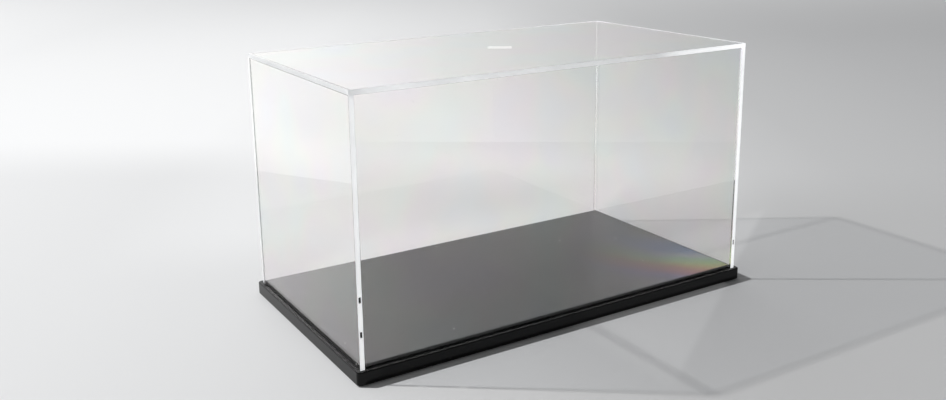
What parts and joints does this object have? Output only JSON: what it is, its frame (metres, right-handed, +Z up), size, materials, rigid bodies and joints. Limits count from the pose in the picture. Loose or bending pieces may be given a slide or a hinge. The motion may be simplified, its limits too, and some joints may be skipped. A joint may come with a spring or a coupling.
{
  "type": "display case",
  "caption": "Tabletop display case: a clear acrylic box cover that lifts off a low black base with a raised deck.",
  "frame": {"origin": "on the table, under the middle of the base", "axes": "+X along the length, to the right when facing the long front panel; +Y from the front panel to the back panel; +Z up"},
  "size_m": [0.312, 0.172, 0.1773],
  "materials": {
    "clear_acrylic": "clear colourless sheet, polished faces, bright sawn edges",
    "black_abs": "moulded black, fine matt texture",
    "deck_black": "moulded black, satin with a soft reflection",
    "zinc_steel": "bright zinc plate",
    "black_rubber": "plain matt"
  },
  "bodies": {
    "base": {"plinth": "black_abs", "deck_plate": "deck_black", "deck_screw_1": "zinc_steel", "deck_screw_2": "zinc_steel", "deck_screw_3": "zinc_steel", "deck_screw_4": "zinc_steel", "deck_screw_5": "zinc_steel", "deck_screw_6": "zinc_steel", "foot_front_left": "black_rubber", "foot_front_right": "black_rubber", "foot_back_left": "black_rubber", "foot_back_right": "black_rubber"},
    "cover": {"top_panel": "clear_acrylic", "front_panel": "clear_acrylic", "back_panel": "clear_acrylic", "left_panel": "clear_acrylic", "right_panel": "clear_acrylic"}
  },
  "joints": [
    {"name": "cover_lift", "type": "slide", "parent": "base", "child": "cover", "axis": [0, 0, 1], "range_m": [0, 0.18]}
  ]
}
